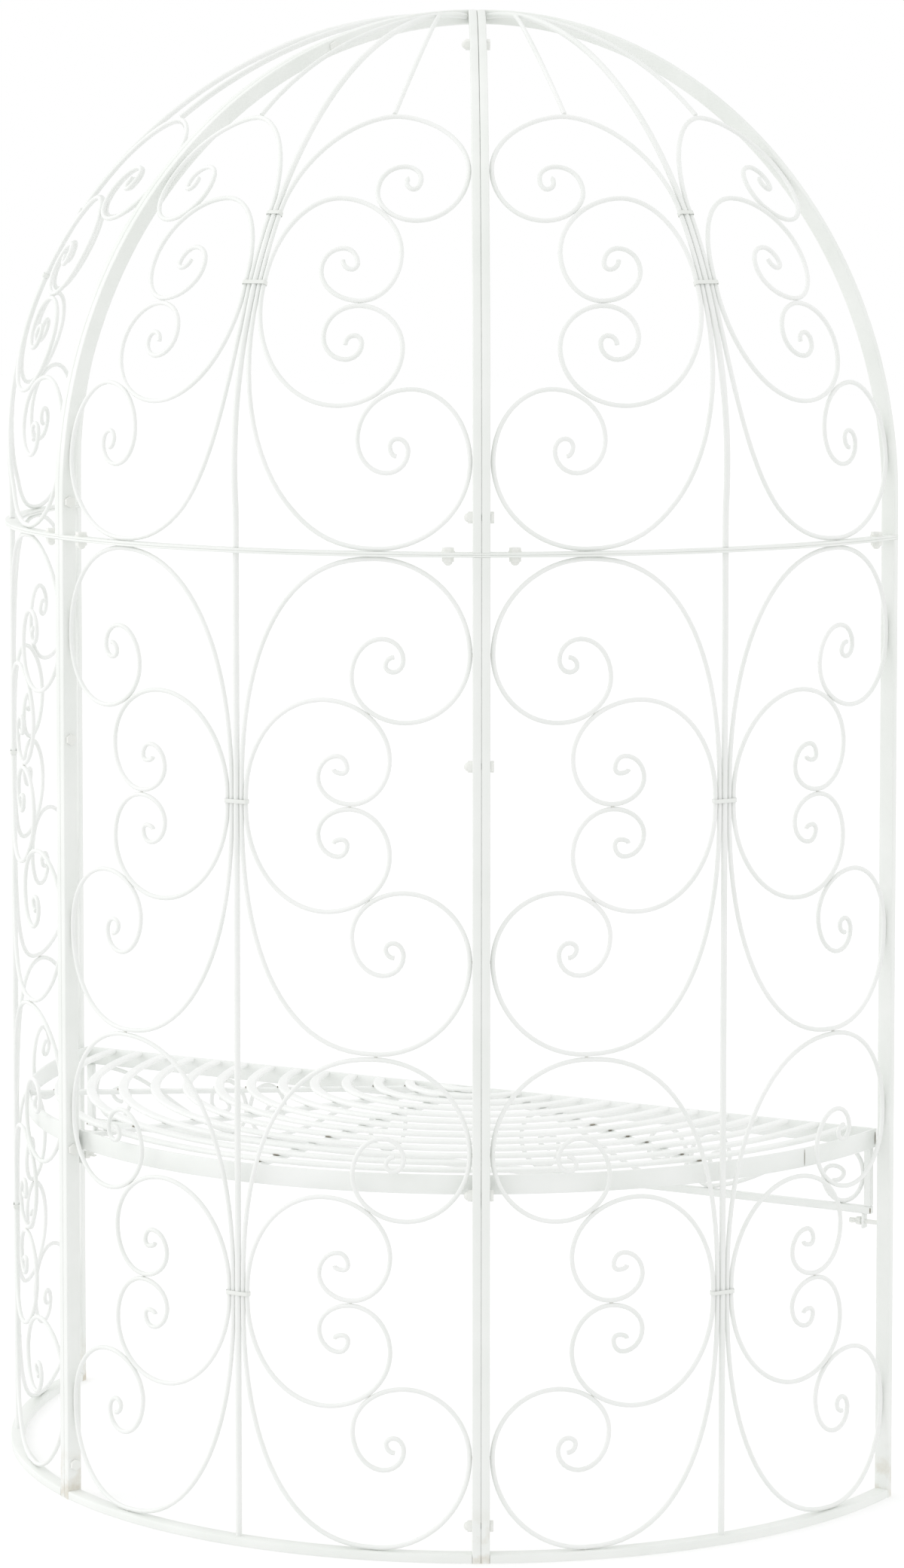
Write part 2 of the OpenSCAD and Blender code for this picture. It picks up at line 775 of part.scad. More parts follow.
apron_uprights();
apron_scrolls();
bench_tabs();
bench_bolts();
seam_bolts();
ring_bolts();
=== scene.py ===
import math

import bmesh
import bpy
from mathutils import Matrix, Vector


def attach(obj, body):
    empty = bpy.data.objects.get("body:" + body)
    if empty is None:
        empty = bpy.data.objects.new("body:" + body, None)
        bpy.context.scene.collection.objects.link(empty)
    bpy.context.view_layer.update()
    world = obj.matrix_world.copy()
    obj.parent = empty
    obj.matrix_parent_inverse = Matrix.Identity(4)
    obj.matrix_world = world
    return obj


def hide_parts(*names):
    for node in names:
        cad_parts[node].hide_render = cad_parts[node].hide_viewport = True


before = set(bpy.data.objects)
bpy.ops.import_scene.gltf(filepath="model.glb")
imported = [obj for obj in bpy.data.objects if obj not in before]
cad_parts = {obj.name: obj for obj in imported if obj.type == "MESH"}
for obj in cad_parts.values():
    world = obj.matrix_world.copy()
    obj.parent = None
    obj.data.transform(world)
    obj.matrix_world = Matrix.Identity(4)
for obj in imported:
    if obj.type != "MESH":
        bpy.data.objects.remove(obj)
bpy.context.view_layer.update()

# The arbour's sizes in millimetres, and its angles in radians.
MM = 0.001
# The plan: three panels round an axis, of square tube with a hair's gap between.
PANEL = math.radians(58)
HALF = PANEL / 2
OUTSIDE = 650.0
TUBE = (11.0, 20.0)
SEAM = 0.4
# Heights of the posts, of the two flat bars on them, and of the ribs' straight foot.
POST = 1280.0
BAR = 3.0
LEG = 48.0
# Rods, how far a gore's middle stands out and how many degrees up, and the gap of a weld.
ROD = 6.0
MID_ROD = 8.0
BELLY = 18.0
BELLY_AT = 44
FIT = 0.3
# What follows from these.
WALL = OUTSIDE - TUBE[1] / 2
INSIDE = OUTSIDE - TUBE[1]
EDGE = SEAM / 2 + TUBE[0]
RAIL_TOP = POST + BAR
RING_TOP = RAIL_TOP + BAR
DOME = RING_TOP + LEG
CROWN_Y = SEAM / 2 / math.sin(HALF) * math.cos(PANEL)
FRONT = INSIDE * math.cos(3 * HALF) + SEAM / 2 * math.sin(3 * HALF)
MIDDLE = (OUTSIDE + CROWN_Y) / 2
# The bench: its height, its flat bands, the number and section of its slats, its rim
# and the height of the apron under its front.
SEAT = 494.0
BAND = (25.0, 4.0)
SLATS = 13
SLAT = (14.0, 6.0)
RIM = INSIDE - 5.0
APRON = 80.0
# Where the bolts sit: up the seam posts, up the seam ribs (below the dome in
# millimetres, on the dome in degrees) and along the ring from the seams.
BOLT_HEIGHTS = (0.036 * POST, SEAT - BAND[0] + 2, 0.794 * POST)
RIB_BOLTS = (-LEG / 11, 68.5)
RING_BOLT = 42.0
PANELS = {"left": 1, "rear": 0, "right": -1}


# Paint: white, a little cloudy, with a few faint freckles of rust.

# Each noise pattern's scale, and the band of its values that shows.
CLOUD_SCALE, CLOUD_BAND = 9.0, (0.35, 0.68)
FRECKLE_SCALE, FRECKLE_BAND = 190.0, (0.72, 0.82)
PATCH_SCALE, PATCH_BAND = 11.0, (0.60, 0.74)
DAMP_SCALE, DAMP_BAND = 42.0, (0.42, 0.70)
DAMP_HEIGHT = 0.075
SHEEN_SCALE, SHEEN_SPREAD = 55.0, (-0.1, 0.14)
GRAIN_SCALE, GRAIN_STRENGTH, GRAIN_DEPTH = 120.0, 0.15, 0.0003
RUST = (0.36, 0.24, 0.13)
DAMP = (0.52, 0.44, 0.30)


def noise(tree, place, scale, detail=4.0, rough=0.55):
    """A noise pattern on the piece's own coordinates; returns its 0 to 1 value."""
    node = tree.nodes.new("ShaderNodeTexNoise")
    node.inputs["Scale"].default_value = scale
    node.inputs["Detail"].default_value = detail
    node.inputs["Roughness"].default_value = rough
    tree.links.new(place, node.inputs["Vector"])
    return node.outputs["Fac"]


def ramp(tree, value, low, high):
    """Stretches the band from low to high of a value to 0 to 1."""
    node = tree.nodes.new("ShaderNodeMapRange")
    node.inputs["From Min"].default_value = low
    node.inputs["From Max"].default_value = high
    tree.links.new(value, node.inputs["Value"])
    return node.outputs["Result"]


def blend_colours(tree, share, first, second):
    """Mixes two colours, each a colour or another node's output, by a share."""
    node = tree.nodes.new("ShaderNodeMix")
    node.data_type = "RGBA"
    for name, value in (("A", first), ("B", second)):
        socket = [s for s in node.inputs if s.name == name and s.type == "RGBA"][0]
        if isinstance(value, tuple):
            socket.default_value = (*value, 1.0)
        else:
            tree.links.new(value, socket)
    if isinstance(share, float):
        node.inputs["Factor"].default_value = share
    else:
        tree.links.new(share, node.inputs["Factor"])
    return [s for s in node.outputs if s.type == "RGBA"][0]


def product(tree, *values):
    """Multiplies several values together."""
    result = values[0]
    for value in values[1:]:
        node = tree.nodes.new("ShaderNodeMath")
        node.operation = "MULTIPLY"
        node.use_clamp = True
        for socket, item in zip(node.inputs, (result, value)):
            if isinstance(item, float):
                socket.default_value = item
            else:
                tree.links.new(item, socket)
        result = node.outputs["Value"]
    return result


def painted_iron(name, colour, shade, rust=0.25, gloss=0.42, grain=1.0, foot=0.0):
    """Even white paint on iron: a colour clouded by a shade, freckled, damp at the foot."""
    made = bpy.data.materials.new(name)
    made.use_nodes = True
    tree = made.node_tree
    shader = tree.nodes["Principled BSDF"]
    place = tree.nodes.new("ShaderNodeTexCoord").outputs["Object"]
    cloudy = ramp(tree, noise(tree, place, CLOUD_SCALE, 5.0), *CLOUD_BAND)
    paint = blend_colours(tree, cloudy, colour, shade)
    freckles = ramp(tree, noise(tree, place, FRECKLE_SCALE, 2.0), *FRECKLE_BAND)
    patches = ramp(tree, noise(tree, place, PATCH_SCALE, 3.0), *PATCH_BAND)
    paint = blend_colours(tree, product(tree, freckles, patches, rust), paint, RUST)
    if foot > 0.0:
        height = tree.nodes.new("ShaderNodeSeparateXYZ")
        tree.links.new(place, height.inputs["Vector"])
        low = ramp(tree, height.outputs["Z"], DAMP_HEIGHT, 0.0)
        wet = ramp(tree, noise(tree, place, DAMP_SCALE), *DAMP_BAND)
        paint = blend_colours(tree, product(tree, low, wet, foot), paint, DAMP)
    tree.links.new(paint, shader.inputs["Base Color"])
    sheen = blend_roughness(tree, noise(tree, place, SHEEN_SCALE, 3.0), gloss)
    tree.links.new(sheen, shader.inputs["Roughness"])
    bump = tree.nodes.new("ShaderNodeBump")
    bump.inputs["Strength"].default_value = GRAIN_STRENGTH
    bump.inputs["Distance"].default_value = GRAIN_DEPTH * grain
    tree.links.new(noise(tree, place, GRAIN_SCALE, 2.0, 0.5), bump.inputs["Height"])
    tree.links.new(bump.outputs["Normal"], shader.inputs["Normal"])
    return made


def blend_roughness(tree, value, middle):
    """Spreads a noise value into a roughness about a middle."""
    node = tree.nodes.new("ShaderNodeMapRange")
    node.inputs["To Min"].default_value = middle + SHEEN_SPREAD[0]
    node.inputs["To Max"].default_value = middle + SHEEN_SPREAD[1]
    tree.links.new(value, node.inputs["Value"])
    return node.outputs["Result"]


post_paint = painted_iron(
    "post_paint", (0.865, 0.880, 0.858), (0.815, 0.838, 0.808), rust=0.3, foot=0.7)
bent_paint = painted_iron(
    "rail_and_rib_paint", (0.86, 0.877, 0.852), (0.805, 0.83, 0.797), rust=0.3)
rod_paint = painted_iron(
    "scroll_rod_paint", (0.87, 0.88, 0.865), (0.82, 0.84, 0.815), rust=0.2, gloss=0.38)
bench_paint = painted_iron(
    "bench_paint", (0.875, 0.89, 0.872), (0.825, 0.848, 0.82), rust=0.3, gloss=0.36)
# The slats' paint is the bench's white made lighter: painted light, standing in for the light from above on
# the seat.
slat_paint_with_painted_top_light = painted_iron(
    "slat_paint_with_painted_top_light", (0.915, 0.925, 0.91), (0.87, 0.885, 0.865), rust=0.3, gloss=0.36)
collar_paint = painted_iron(
    "collar_paint", (0.84, 0.855, 0.83), (0.77, 0.79, 0.755), rust=0.5)
# Grey of the scroll welds: partly the welds' own colour, partly painted shade of the gaps where rods meet.
weld_paint_with_painted_shade = painted_iron(
    "weld_paint_with_painted_shade", (0.72, 0.72, 0.68), (0.55, 0.56, 0.52), rust=0.8, grain=2.5)
# Dark brown-grey for bare welds, and for painted shade in the gaps under slats and at the ends of the rim
# and apron rail.
dark_dash_paint_with_painted_shade = painted_iron(
    "bare_weld_and_painted_gap_shade", (0.30, 0.27, 0.21), (0.16, 0.14, 0.11), rust=0.8, gloss=0.6, grain=2.5)
bolt_paint = painted_iron(
    "bolt_paint", (0.86, 0.87, 0.84), (0.80, 0.81, 0.775), rust=0.5, gloss=0.34)


# Places: where points of the plan, the round wall and the dome lie.
def turned(angle):
    """Turn about the arbour's upright axis, in millimetres from the floor."""
    return Matrix.Rotation(angle, 4, "Z")


def at_panel(side):
    """Where a panel's axis stands: side 1 is the left, 0 the rear, -1 the right one."""
    return Matrix.Translation((0, -MIDDLE, 0)) @ turned(side * PANEL)


def on_wall(x, y, level, hand):
    """A point of the round wall, x in from a post and y above a level."""
    a = hand * (HALF_WIDTH - x) / WALL
    return Vector((-WALL * math.sin(a), WALL * math.cos(a), level + y))


HALF_WIDTH = WALL * (HALF - math.asin(EDGE / WALL))
SEATED = ROD / 2 + FIT
OUTER_AT = MID_ROD / 2 + ROD / 2 + FIT
INNER_AT = OUTER_AT + ROD + FIT


def latitude(s):
    """How far up the dome a length s along a rib comes, past its straight foot."""
    return max(0.0, (s - LEG) / WALL)


def belly(s):
    """How far a gore's middle stands out from the round of its ribs."""
    return BELLY * max(-0.1, 1 - abs(1 - math.degrees(latitude(s)) / BELLY_AT) ** 3)


def gore_radius(s):
    """Distance of a gore's middle from the upright axis, s up along a rib."""
    return (WALL + belly(s)) * math.cos(latitude(s))


def from_middle(x, s):
    """Angle and length of a point that lies x beside a gore's middle."""
    return x / gore_radius(s), s


def from_rib(x, s):
    """Angle and length of a point that lies x in from a rib."""
    return HALF - (x + EDGE) / (WALL * math.cos(latitude(s))), s


def to_middle(x, s):
    """Turns a distance from the rib into a distance from the gore's middle."""
    return from_rib(x, s)[0] * gore_radius(s), s


def on_gore(angle, s, hand):
    """A point of the dome at an angle from a gore's middle and a length up a rib."""
    lat = latitude(s)
    r = WALL + belly(s) * math.sin(math.pi / 2 * (HALF - abs(angle)) / HALF)
    out = r * math.cos(lat)
    a = hand * angle
    z = DOME + min(0.0, s - LEG) + r * math.sin(lat)
    return Vector((-out * math.sin(a), out * math.cos(a), z))


# Scrolls: the flat paths of the bent rods, worked out from their turns.
def scroll(start, turns, steps=14):
    """Points of a scroll, each turn a quarter round, spiralling inwards."""
    points = []
    x, y = start
    for i, (across, up) in enumerate(turns):
        a = math.pi / 2 * (i + 1)
        cx, cy = x - across * math.cos(a), y - up * math.sin(a)
        count = max(6, round(steps * max(across, up) / 60))
        for j in range(count + (i == len(turns) - 1)):
            b = a + math.pi / 2 * j / count
            points.append((cx + across * math.cos(b), cy + up * math.sin(b)))
        x, y = cx + across * math.cos(a + math.pi / 2), cy + up * math.sin(a + math.pi / 2)
    return points


def sweep(start, end, bulge, steps=22):
    """Long sweep from a start that stands upright to an end that lies level."""
    points = []
    for i in range(steps):
        t = math.pi / 2 * i / steps
        points.append((end[0] + (start[0] - end[0]) * math.cos(t) ** (2 / bulge),
                       start[1] + (end[1] - start[1]) * math.sin(t) ** (2 / bulge)))
    return points


def clearance(dx, dy, first, second):
    """Least gap between two ovals whose middles lie dx and dy apart."""
    best = -1e9
    for k in range(31):
        t = math.radians(3 * k)
        c, s = math.cos(t), math.sin(t)
        best = max(best, dx * c + dy * s - math.hypot(first[0] * c, first[1] * s)
                   - math.hypot(second[0] * c, second[1] * s))
    return best


def inner_start(outer, inner, dy, gap):
    """How far from the post an inner scroll starts so that it rests on the outer."""
    low, high = 0.35 * (outer[2][0] + inner[0][0]), 2 * HALF_WIDTH
    for _ in range(24):
        middle = (low + high) / 2
        if clearance(middle, dy, outer[2], inner[0]) > gap:
            high = middle
        else:
            low = middle
    return SEATED + outer[1][0] + (low + high) / 2


# Each scroll's quarter turns as half widths and half heights, and how full its
# long sweep is, for the panel and gore sizes that they were measured on.
MEASURED_TIER, MEASURED_HALF_WIDTH = 637, 312.9
MEASURED_GORE, MEASURED_WALL = 1049.3, 640
WALL_OUTER = [(120, 120), (83, 87), (68, 57), (40, 49), (27, 26), (13, 16), (10, 8), (11, 11)]
WALL_INNER = [(86, 74), (52, 58), (42, 33), (26, 28), (13, 15), (7, 7), (11, 5)]
LOW_OUTER = [(118, 110), (72, 90), (69, 65), (36, 40), (28, 28), (13, 15), (10, 10), (8, 12)]
LOW_INNER = [(85, 75), (53, 53), (47, 43), (27, 27), (22, 21), (9, 10), (12, 12)]
HIGH_OUTER = [(87, 87), (70, 86), (45, 39), (37, 45), (18, 18), (10, 18), (8, 9), (3, 8)]
HIGH_INNER = [(76, 76), (54, 68), (48, 38), (30, 33), (17, 20), (8, 9), (11, 12)]
WALL_OUTER_BULGE, WALL_INNER_BULGE = 2.33, 2.0
LOW_OUTER_BULGE, LOW_INNER_BULGE = 2.35, 2.0
HIGH_OUTER_BULGE, HIGH_INNER_BULGE = 1.8, 2.1
TIER = (POST - TUBE[0]) / 2
STEM = 6.0
KISS = (ROD + FIT) / 2


def grown(turns, k):
    """A scroll's turns, all larger by a factor."""
    return [(across * k, up * k) for across, up in turns]


wall_k = min(TIER / MEASURED_TIER, HALF_WIDTH / MEASURED_HALF_WIDTH)
WALL_OUTER, WALL_INNER = grown(WALL_OUTER, wall_k), grown(WALL_INNER, wall_k)
wall_top = TIER / 2 - SEATED
inner_top = KISS + WALL_INNER[1][1] + WALL_INNER[0][1]
wall_reach = (wall_top - WALL_OUTER[0][1] - WALL_OUTER[1][1] + WALL_OUTER[2][1]
              - KISS - WALL_INNER[1][1])
wall_inner_x = inner_start(WALL_OUTER, WALL_INNER, wall_reach, ROD + FIT)


def whole_rod(start, bulge, top, turns):
    """One wall scroll's path, the same above and below its middle."""
    half = sweep((HALF_WIDTH - start, STEM), top, bulge) + scroll(top, turns)
    return [(x, -y) for x, y in reversed(half)] + half


wall_outer_top = (SEATED + WALL_OUTER[0][0], wall_top)
wall_outer_rod = whole_rod(OUTER_AT, WALL_OUTER_BULGE, wall_outer_top, WALL_OUTER)
wall_inner_rod = whole_rod(INNER_AT, WALL_INNER_BULGE, (wall_inner_x, inner_top), WALL_INNER)

GORE = LEG + WALL * math.pi / 2
gore_k = min(GORE / MEASURED_GORE, WALL / MEASURED_WALL)
LOW_OUTER, LOW_INNER = grown(LOW_OUTER, gore_k), grown(LOW_INNER, gore_k)
HIGH_OUTER, HIGH_INNER = grown(HIGH_OUTER, gore_k), grown(HIGH_INNER, gore_k)
TIE_LOW, TIE_HIGH = 0.319 * GORE, 0.412 * GORE
KISS_LEVEL, TOP_LEVEL, BRACE_END = 0.2964 * GORE, 0.573 * GORE, 0.887 * GORE
low_reach = (KISS_LEVEL - KISS - LOW_INNER[1][1]
             - (SEATED + LOW_OUTER[0][1] + LOW_OUTER[1][1] - LOW_OUTER[2][1]))
low_inner_x = inner_start(LOW_OUTER, LOW_INNER, low_reach, ROD + 1)
high_reach = (TOP_LEVEL - HIGH_OUTER[0][1] - HIGH_OUTER[1][1] + HIGH_OUTER[2][1]
              - (KISS_LEVEL + KISS + HIGH_INNER[1][1]))
high_inner_x = inner_start(HIGH_OUTER, HIGH_INNER, high_reach, ROD + 1)


def gore_half(start, level, bulge, top, turns, way):
    """The lower or the upper half of a dome scroll's path, from its tie to its curl."""
    swung = [from_middle(*p) for p in sweep((start, level), to_middle(*top), bulge)]
    curled = [from_rib(x, way * y) for x, y in scroll((top[0], way * top[1]), turns)]
    return swung + curled


low_outer_end = (SEATED + LOW_OUTER[0][0], SEATED)
high_outer_end = (SEATED + HIGH_OUTER[0][0], TOP_LEVEL)
low_inner_end = (low_inner_x, KISS_LEVEL - KISS - LOW_INNER[1][1] - LOW_INNER[0][1])
high_inner_end = (high_inner_x, KISS_LEVEL + KISS + HIGH_INNER[1][1] + HIGH_INNER[0][1])
low_outer = gore_half(OUTER_AT, TIE_LOW - STEM, LOW_OUTER_BULGE, low_outer_end, LOW_OUTER, -1)
high_outer = gore_half(OUTER_AT, TIE_HIGH + STEM, HIGH_OUTER_BULGE, high_outer_end, HIGH_OUTER, 1)
low_inner = gore_half(INNER_AT, TIE_LOW - STEM, LOW_INNER_BULGE, low_inner_end, LOW_INNER, -1)
high_inner = gore_half(INNER_AT, TIE_LOW + STEM, HIGH_INNER_BULGE, high_inner_end, HIGH_INNER, 1)
between_ties = TIE_HIGH - TIE_LOW - 2 * STEM
beside_rod = [from_middle(OUTER_AT, TIE_LOW + STEM + between_ties * i / 8) for i in range(8)]
gore_outer_rod = low_outer[::-1] + beside_rod + high_outer
gore_inner_rod = low_inner[::-1] + high_inner

crown_end = LEG + WALL * math.acos((MID_ROD / 2 + FIT + EDGE) / math.sin(HALF) / WALL)
crown_run = [(0.0, FIT + (crown_end - FIT) * i / 60) for i in range(61)]
BRACE_INSET = 9
BRACE_BOW = 0.53
brace_x = to_middle(SEATED + HIGH_OUTER[0][0], TOP_LEVEL)[0] - BRACE_INSET
brace_foot = TOP_LEVEL + 0.7 * ROD + FIT
brace_run = []
for t in [i / 30 for i in range(31)]:
    nearer = 1 - (1 - BRACE_BOW) * t - BRACE_BOW * t * t
    brace_run.append(from_middle(
        OUTER_AT + (brace_x - OUTER_AT) * nearer, brace_foot + (BRACE_END - brace_foot) * t))


# How pieces are made.

# Edges sharper than this stay sharp, points nearer than this are one, and a face
# laid flat is stood up to be bent round the plan.
SHARP_FROM = math.radians(45)
SAME_POINT = 0.00001
STANDING = Matrix(((0, 0, 1, 0), (1, 0, 0, 0), (0, 1, 0, 0), (0, 0, 0, 1)))


def shift(*way):
    """A move by x, y and z."""
    return Matrix.Translation(way)


def move(work, place):
    """Lays a whole shape where place puts it."""
    bmesh.ops.transform(work, matrix=place, verts=work.verts)


def soften(work, edges, offset, segments=2, profile=0.5):
    """Rounds edges of a shape."""
    bmesh.ops.bevel(work, geom=edges, offset=offset, offset_type="OFFSET", segments=segments,
                    profile=profile, affect="EDGES", material=-1)


def merge_into(whole, work):
    """Adds a small bmesh to a larger one."""
    data = bpy.data.meshes.new("part")
    work.to_mesh(data)
    work.free()
    whole.from_mesh(data)
    bpy.data.meshes.remove(data)


def piece_from(name, work, paint, stands_for=()):
    """Turns a bmesh in millimetres into a painted piece that rides with the arbour."""
    move(work, Matrix.Scale(MM, 4))
    bmesh.ops.recalc_face_normals(work, faces=work.faces)
    data = bpy.data.meshes.new(name)
    work.to_mesh(data)
    work.free()
    data.materials.append(paint)
    piece = bpy.data.objects.new(name, data)
    bpy.context.scene.collection.objects.link(piece)
    data.shade_smooth()
    data.set_sharp_from_angle(angle=SHARP_FROM)
    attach(piece, "root")
    if stands_for:
        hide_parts(*stands_for)
    return piece


def bent_rods(name, runs, thickness, paint, stands_for):
    """Round rods bent along runs of points, with closed ends, in one piece."""
    curve = bpy.data.curves.new(name + "_run", "CURVE")
    curve.dimensions = "3D"
    curve.bevel_depth = thickness / 2 * MM
    curve.bevel_resolution = 4
    curve.use_fill_caps = True
    for run in runs:
        line = curve.splines.new("POLY")
        line.points.add(len(run) - 1)
        for point, place in zip(line.points, run):
            point.co = (*(place * MM), 1.0)
    shape = bpy.data.objects.new(name + "_run", curve)
    data = bpy.data.meshes.new_from_object(shape)
    bpy.data.objects.remove(shape)
    work = bmesh.new()
    work.from_mesh(data)
    bmesh.ops.remove_doubles(work, verts=work.verts, dist=SAME_POINT)
    move(work, Matrix.Scale(1 / MM, 4))
    return piece_from(name, work, paint, stands_for)


def rounded(work, width, depth, place, radius, segments=3):
    """A rounded rectangle, width along X and depth along Y, laid where place puts it."""
    corners = [work.verts.new((x, y, 0)) for x, y in ((0, 0), (width, 0), (width, depth), (0, depth))]
    work.faces.new(corners)
    bmesh.ops.bevel(work, geom=corners, offset=radius, offset_type="OFFSET", segments=segments,
                    profile=0.5, affect="VERTICES", material=-1)
    face = max(work.faces, key=lambda f: len(f.verts))
    bmesh.ops.transform(work, matrix=place, verts=face.verts)
    return face


def draw_out(work, face, way):
    """Pulls a face out into a straight bar and returns the far face."""
    made = bmesh.ops.extrude_face_region(work, geom=[face])
    far = [v for v in made["geom"] if isinstance(v, bmesh.types.BMVert)]
    bmesh.ops.translate(work, vec=way, verts=far)
    return [f for f in made["geom"] if isinstance(f, bmesh.types.BMFace)][0]


def bend(work, face, angle, steps, centre, axis):
    """Sweeps a face round an axis into a bent bar."""
    made = bmesh.ops.spin(work, geom=[face], cent=centre, axis=axis, angle=angle, steps=steps,
                          use_merge=False, use_duplicate=False)
    return [f for f in made["geom_last"] if isinstance(f, bmesh.types.BMFace)][0]


def trim(work, point, normal):
    """Cuts off what lies beyond a plane and closes the cut."""
    geom = work.verts[:] + work.edges[:] + work.faces[:]
    cut = bmesh.ops.bisect_plane(work, geom=geom, plane_co=point, plane_no=normal, clear_outer=True)
    edges = [e for e in cut["geom_cut"] if isinstance(e, bmesh.types.BMEdge)]
    bmesh.ops.holes_fill(work, edges=edges, sides=0)


TUBE_CORNER = 1.6


def tube_end(work, end, level):
    """The end face of a square tube beside a seam, to be drawn out."""
    x = SEAM / 2 if end > 0 else -SEAM / 2 - TUBE[0]
    return rounded(work, TUBE[0], TUBE[1], shift(x, INSIDE, level), TUBE_CORNER)


def post_piece(name, side, end):
    """An upright tube of a wall panel."""
    work = bmesh.new()
    face = tube_end(work, end, 0)
    draw_out(work, face, (0, 0, POST))
    move(work, at_panel(side) @ turned(end * HALF))
    piece_from(name, work, post_paint, [name])


def rail_piece(name, side, level, thickness, radius, short):
    """A bar bent round the plan; short ends butt on the posts, long ones cover them."""
    work = bmesh.new()
    reach = HALF - math.asin((EDGE if short else SEAM / 2) / WALL)
    place = turned(-reach) @ shift(0, INSIDE, level) @ STANDING
    face = rounded(work, TUBE[1], thickness, place, radius, 2)
    bend(work, face, 2 * reach, 40, (0, 0, 0), (0, 0, 1))
    if short:
        for end in (-1, 1):
            out = turned(end * HALF) @ Vector((-end, 0, 0))
            trim(work, turned(end * HALF) @ Vector((end * EDGE, 0, 0)), out)
    move(work, at_panel(side))
    piece_from(name, work, bent_paint, [name])


def rib_piece(name, side, end):
    """A rib of the dome: a straight foot, then a quarter round, cut at the crown."""
    work = bmesh.new()
    foot_end = draw_out(work, tube_end(work, end, RING_TOP), (0, 0, LEG))
    bend(work, foot_end, math.pi / 2, 48, (0, 0, DOME), (1, 0, 0))
    bmesh.ops.delete(work, geom=[foot_end], context="FACES_ONLY")
    move(work, turned(end * HALF))
    trim(work, (0, 0, 0), (end, 0, 0))
    move(work, at_panel(side))
    piece_from(name, work, bent_paint, [name])


COLLAR_ROOM, COLLAR_DEPTH, COLLAR_HEIGHT = 0.55, MID_ROD + 1.3, 5.2
COLLAR_CORNER, COLLAR_WALL, COLLAR_EDGE = 3.0, 0.5, 0.12


def collar_piece(name, places):
    """Pressed collars: slim rounded bands, drawn tight round bundles of rods."""
    whole = bmesh.new()
    for place, bundle in places:
        work = bmesh.new()
        wide = 2 * (bundle + COLLAR_ROOM)
        corner = shift(-wide / 2, -COLLAR_DEPTH / 2, -COLLAR_HEIGHT / 2)
        face = rounded(work, wide, COLLAR_DEPTH, corner, COLLAR_CORNER, 4)
        bmesh.ops.inset_region(
            work, faces=[face], thickness=COLLAR_WALL, use_boundary=True, use_even_offset=True)
        bmesh.ops.delete(work, geom=[face], context="FACES_ONLY")
        made = bmesh.ops.extrude_face_region(work, geom=work.faces[:])
        far = [v for v in made["geom"] if isinstance(v, bmesh.types.BMVert)]
        bmesh.ops.translate(work, vec=(0, 0, COLLAR_HEIGHT), verts=far)
        bmesh.ops.recalc_face_normals(work, faces=work.faces)
        rims = [e for e in work.edges if e.is_manifold and e.calc_face_angle() > 1.2]
        soften(work, rims, COLLAR_EDGE)
        move(work, place)
        merge_into(whole, work)
    piece_from(name, whole, collar_paint, [name])


def disc(work, radius, z, sides=24):
    """A flat disc, or with few sides a polygon, about the Z axis."""
    made = bmesh.ops.create_circle(work, cap_ends=True, radius=radius, segments=sides,
                                   matrix=shift(0, 0, z) @ turned(math.pi / sides))
    return made["verts"][0].link_faces[0]


def stub(radius, z, height, sides):
    """A short round or many sided bar along +Z, in a bmesh of its own."""
    work = bmesh.new()
    draw_out(work, disc(work, radius, z, sides), (0, 0, height))
    return work


BOLT_FLATS, BOLT_SIZE = 13.0, 8.0
BOLT_RADIUS = BOLT_FLATS / 2 / math.cos(math.pi / 6)
HEAD_HIGH, NUT_HIGH, CAP_AT = 4.5, 6, 5
LEAST_WASHER = 0.5


def bolt_shape(grip, washer):
    """A bolt along +Z: hexagon head below zero, washer, and a cap nut past the grip."""
    whole = bmesh.new()
    head = stub(BOLT_RADIUS, -washer - HEAD_HIGH, HEAD_HIGH, 6)
    low = [e for e in head.edges if all(v.co.z < -washer - 4 for v in e.verts)]
    soften(head, low, 1.0, profile=0.6)
    merge_into(whole, head)
    if washer > LEAST_WASHER:
        merge_into(whole, stub(BOLT_FLATS * 0.65, -washer, washer, 32))
    merge_into(whole, stub(BOLT_SIZE / 2, -1, grip + 2, 24))
    nut = stub(BOLT_RADIUS, grip, NUT_HIGH, 6)
    ends = [e for e in nut.edges if all(v.co.z > grip + CAP_AT for v in e.verts)]
    soften(nut, ends, 0.9, profile=0.6)
    merge_into(whole, nut)
    cap = bmesh.new()
    bmesh.ops.create_uvsphere(cap, u_segments=24, v_segments=14, radius=BOLT_FLATS / 2 - 0.6,
                              matrix=shift(0, 0, grip + CAP_AT))
    merge_into(whole, cap)
    return whole


STUD_RADIUS = 3
HUB_RADIUS, HUB_HIGH, HUB_AT = 5.5, 7, 0.24
WING = (6.4, 2.2, 12, 1)
WING_LEAN, WING_REACH = 115, 9


def wing_shape(length):
    """A stud with a wing nut on it, along +Z to the face of a post."""
    whole = bmesh.new()
    merge_into(whole, stub(STUD_RADIUS, 0, length, 20))
    hub = stub(HUB_RADIUS, length * HUB_AT, HUB_HIGH, 24)
    soften(hub, [e for e in hub.edges if not e.is_contiguous or e.calc_face_angle() > 1], 0.8)
    merge_into(whole, hub)
    middle = shift(0, 0, length * HUB_AT + HUB_HIGH / 2)
    for angle in (-WING_LEAN, WING_LEAN):
        wing = bmesh.new()
        bmesh.ops.create_cube(wing, size=1.0)
        move(wing, Matrix.Diagonal(WING))
        soften(wing, wing.edges[:], 0.9, segments=3)
        lean = Matrix.Rotation(math.radians(angle), 4, "Y")
        move(wing, middle @ lean @ shift(0, 0, WING_REACH))
        merge_into(whole, wing)
    return whole


